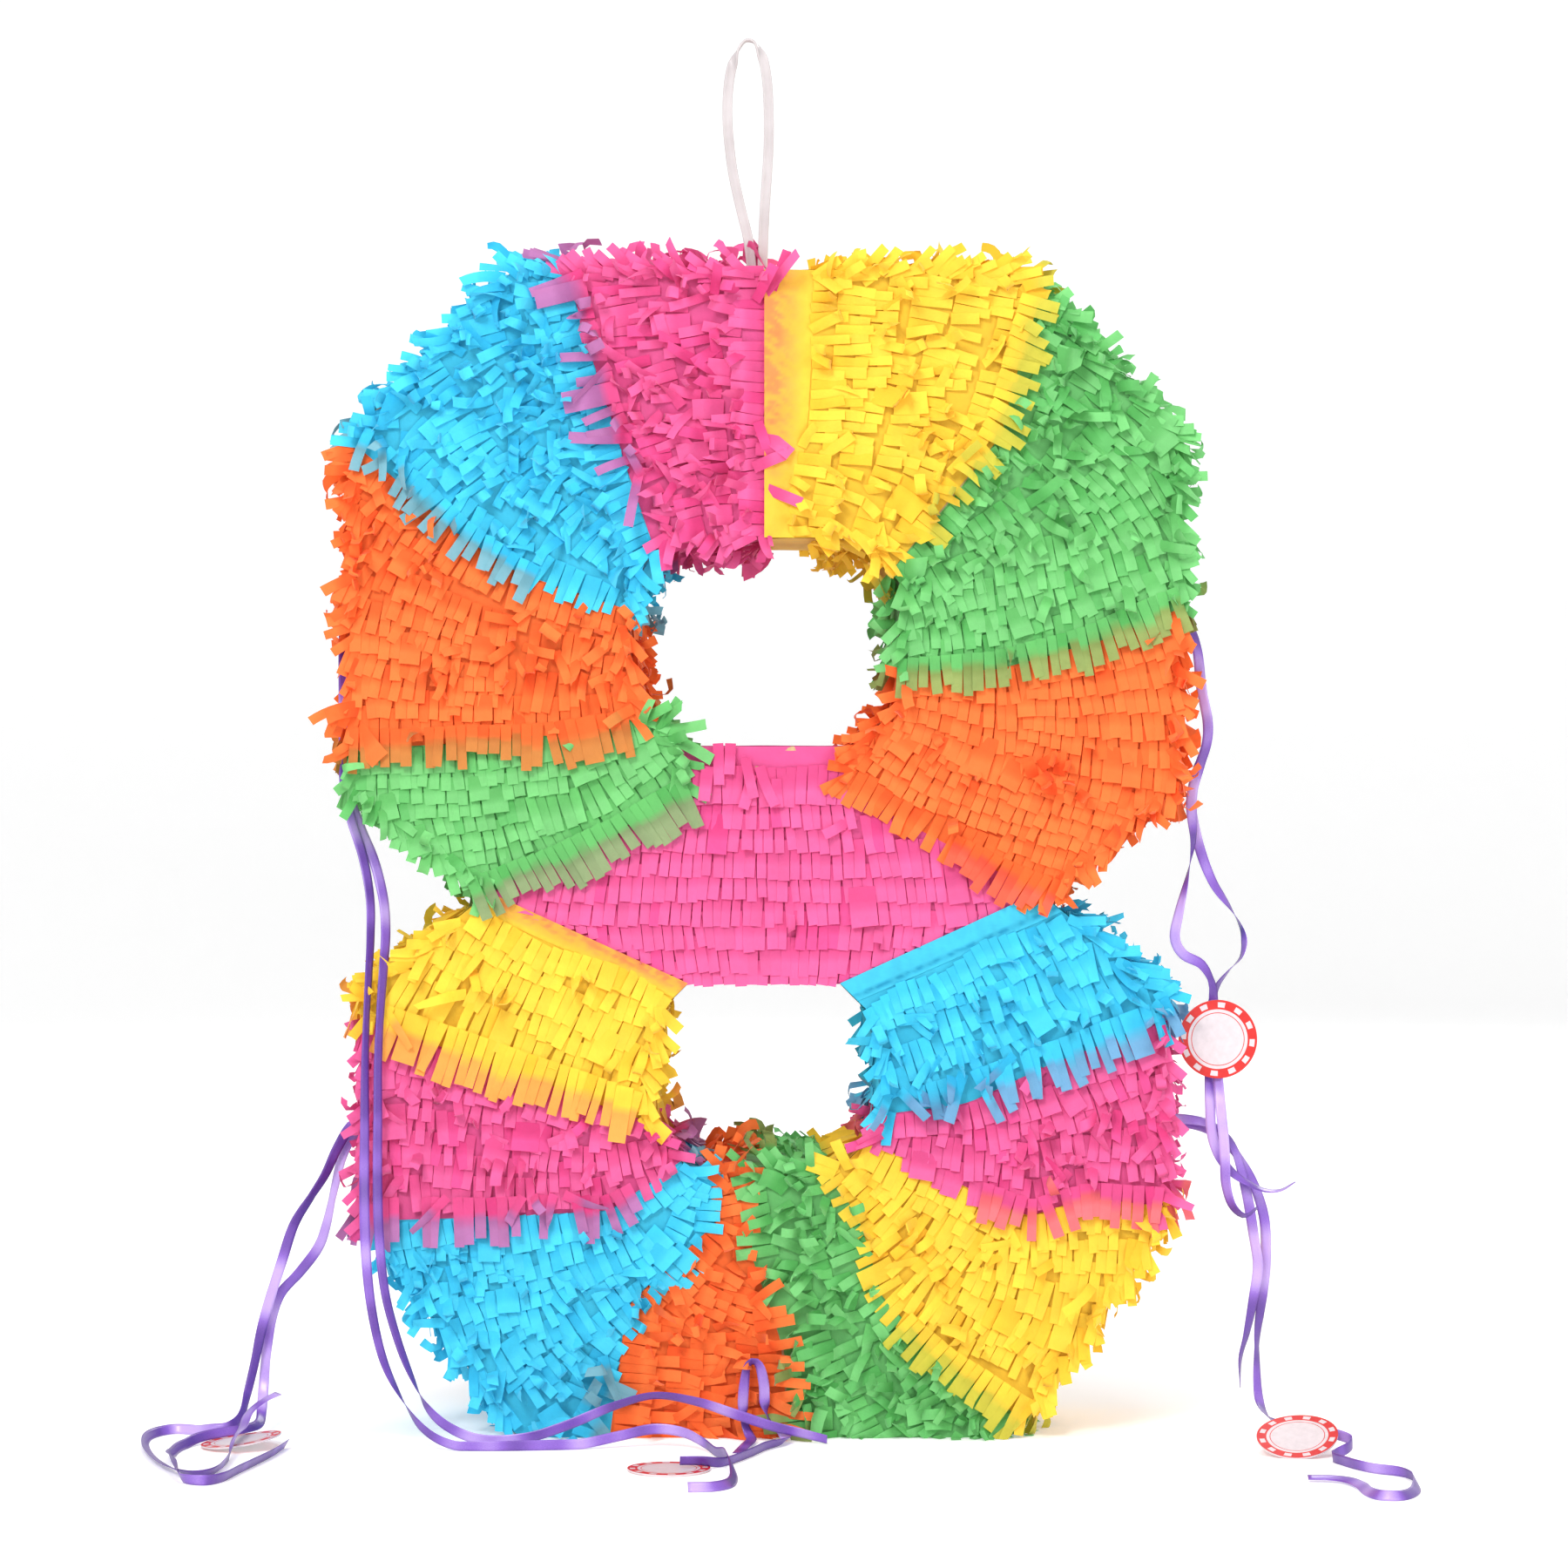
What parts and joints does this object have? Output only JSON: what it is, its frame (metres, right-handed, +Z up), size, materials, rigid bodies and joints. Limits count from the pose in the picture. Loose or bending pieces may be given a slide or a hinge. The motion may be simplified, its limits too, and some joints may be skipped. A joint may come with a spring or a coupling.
{
  "type": "number-shaped pinata",
  "caption": "Collapsible card pinata in the shape of a figure eight, covered in tissue fringe, with knee braces, pull ribbons and a hanging loop.",
  "frame": {"origin": "middle of the base, on the surface that it stands on", "axes": "+Z up, the fringed front faces -Y, +X to the right as seen from the front"},
  "size_m": [0.5896, 0.2814, 0.6734],
  "materials": {
    "card": "matte corrugated card",
    "brace_card": "matte folded card",
    "tissue_pink": "matte fringed tissue",
    "tissue_yellow": "matte fringed tissue",
    "tissue_green": "matte fringed tissue",
    "tissue_orange": "matte fringed tissue",
    "tissue_blue": "matte fringed tissue",
    "strap_plastic": "satin nylon",
    "ribbon": "satin curling ribbon",
    "tag_card": "printed coated card"
  },
  "bodies": {
    "front_shell": {"front_panel": "card", "wall_top": "card", "wall_bottom": "card", "wall_low_corner_right": "card", "wall_low_side_right": "card", "wall_waist_low_right": "card", "wall_waist_high_right": "card", "wall_high_side_right": "card", "wall_high_corner_right": "card", "wall_low_corner_left": "card", "wall_low_side_left": "card", "wall_waist_low_left": "card", "wall_waist_high_left": "card", "wall_high_side_left": "card", "wall_high_corner_left": "card", "rim_upper_hole": "card", "rim_lower_hole": "card", "front_tissue_pink": "tissue_pink", "front_tissue_yellow": "tissue_yellow", "front_tissue_green": "tissue_green", "front_tissue_orange": "tissue_orange", "front_tissue_blue": "tissue_blue", "side_tissue_pink": "tissue_pink", "side_tissue_yellow": "tissue_yellow", "side_tissue_green": "tissue_green", "side_tissue_orange": "tissue_orange", "side_tissue_blue": "tissue_blue", "strap_lock_head": "strap_plastic", "strap_anchor_plate": "brace_card", "ribbon_inner_runs": "ribbon", "ribbon_a1": "ribbon", "ribbon_a2": "ribbon", "ribbon_b1": "ribbon", "ribbon_b2": "ribbon", "ribbon_c1": "ribbon", "ribbon_c2": "ribbon", "ribbon_d1": "ribbon", "ribbon_d2": "ribbon", "ribbon_d3": "ribbon", "tag_a": "tag_card", "tag_b": "tag_card", "tag_c": "tag_card", "tag_d": "tag_card"},
    "back_shell": {"back_panel": "card", "back_tissue_pink": "tissue_pink", "back_tissue_yellow": "tissue_yellow", "back_tissue_green": "tissue_green", "back_tissue_orange": "tissue_orange", "back_tissue_blue": "tissue_blue"},
    "hatch": {"hatch_flap": "card", "hatch_tissue": "tissue_yellow"},
    "strap": {"hanging_strap": "strap_plastic"},
    "brace_front_high_right": {"front_leaf_high_right": "brace_card"},
    "brace_rear_high_right": {"rear_leaf_high_right": "brace_card"},
    "brace_front_high_left": {"front_leaf_high_left": "brace_card"},
    "brace_rear_high_left": {"rear_leaf_high_left": "brace_card"},
    "brace_front_low_right": {"front_leaf_low_right": "brace_card"},
    "brace_rear_low_right": {"rear_leaf_low_right": "brace_card"},
    "brace_front_low_left": {"front_leaf_low_left": "brace_card"},
    "brace_rear_low_left": {"rear_leaf_low_left": "brace_card"}
  },
  "joints": [
    {"name": "strap_bend", "type": "hinge", "parent": "front_shell", "child": "strap", "pos_m": [-0.0034, -0.036, 0.56], "axis": [1, 0, 0], "range_deg": [-55, 55], "stiffness_Nm_per_rad": 0.02},
    {"name": "collapse", "type": "hinge", "parent": "front_shell", "child": "brace_front_high_right", "pos_m": [0.14, -0.0461, 0.395], "axis": [0, 0, 1], "range_deg": [0, 75], "deforming": ["wall_top", "wall_bottom", "wall_low_corner_right", "wall_low_side_right", "wall_waist_low_right", "wall_waist_high_right", "wall_high_side_right", "wall_high_corner_right", "wall_low_corner_left", "wall_low_side_left", "wall_waist_low_left", "wall_waist_high_left", "wall_high_side_left", "wall_high_corner_left", "rim_upper_hole", "rim_lower_hole", "side_tissue_pink", "side_tissue_yellow", "side_tissue_green", "side_tissue_orange", "side_tissue_blue"]},
    {"name": "knee_high_right", "type": "hinge", "parent": "brace_front_high_right", "child": "brace_rear_high_right", "pos_m": [0.14, 0, 0.395], "axis": [0, 0, 1], "range_deg": [-150, 0]},
    {"name": "fold_high_left", "type": "hinge", "parent": "front_shell", "child": "brace_front_high_left", "pos_m": [-0.14, -0.0461, 0.395], "axis": [0, 0, -1], "range_deg": [0, 75]},
    {"name": "knee_high_left", "type": "hinge", "parent": "brace_front_high_left", "child": "brace_rear_high_left", "pos_m": [-0.14, 0, 0.395], "axis": [0, 0, -1], "range_deg": [-150, 0]},
    {"name": "fold_low_right", "type": "hinge", "parent": "front_shell", "child": "brace_front_low_right", "pos_m": [0.14, -0.0461, 0.153], "axis": [0, 0, 1], "range_deg": [0, 75]},
    {"name": "knee_low_right", "type": "hinge", "parent": "brace_front_low_right", "child": "brace_rear_low_right", "pos_m": [0.14, 0, 0.153], "axis": [0, 0, 1], "range_deg": [-150, 0]},
    {"name": "fold_low_left", "type": "hinge", "parent": "front_shell", "child": "brace_front_low_left", "pos_m": [-0.14, -0.0461, 0.153], "axis": [0, 0, -1], "range_deg": [0, 75]},
    {"name": "knee_low_left", "type": "hinge", "parent": "brace_front_low_left", "child": "brace_rear_low_left", "pos_m": [-0.14, 0, 0.153], "axis": [0, 0, -1], "range_deg": [-150, 0]},
    {"name": "back_fold", "type": "hinge", "parent": "brace_rear_high_right", "child": "back_shell", "pos_m": [0.14, 0.0461, 0.395], "axis": [0, 0, 1], "range_deg": [0, 75]},
    {"name": "hatch_open", "type": "hinge", "parent": "back_shell", "child": "hatch", "pos_m": [0, 0.05, 0.532], "axis": [1, 0, 0], "range_deg": [0, 110]}
  ],
  "couplings": [
    {"joint": "knee_high_right", "follows": "collapse", "ratio": -2},
    {"joint": "fold_high_left", "follows": "collapse", "ratio": 1},
    {"joint": "knee_high_left", "follows": "collapse", "ratio": -2},
    {"joint": "fold_low_right", "follows": "collapse", "ratio": 1},
    {"joint": "knee_low_right", "follows": "collapse", "ratio": -2},
    {"joint": "fold_low_left", "follows": "collapse", "ratio": 1},
    {"joint": "knee_low_left", "follows": "collapse", "ratio": -2},
    {"joint": "back_fold", "follows": "collapse", "ratio": 1}
  ]
}
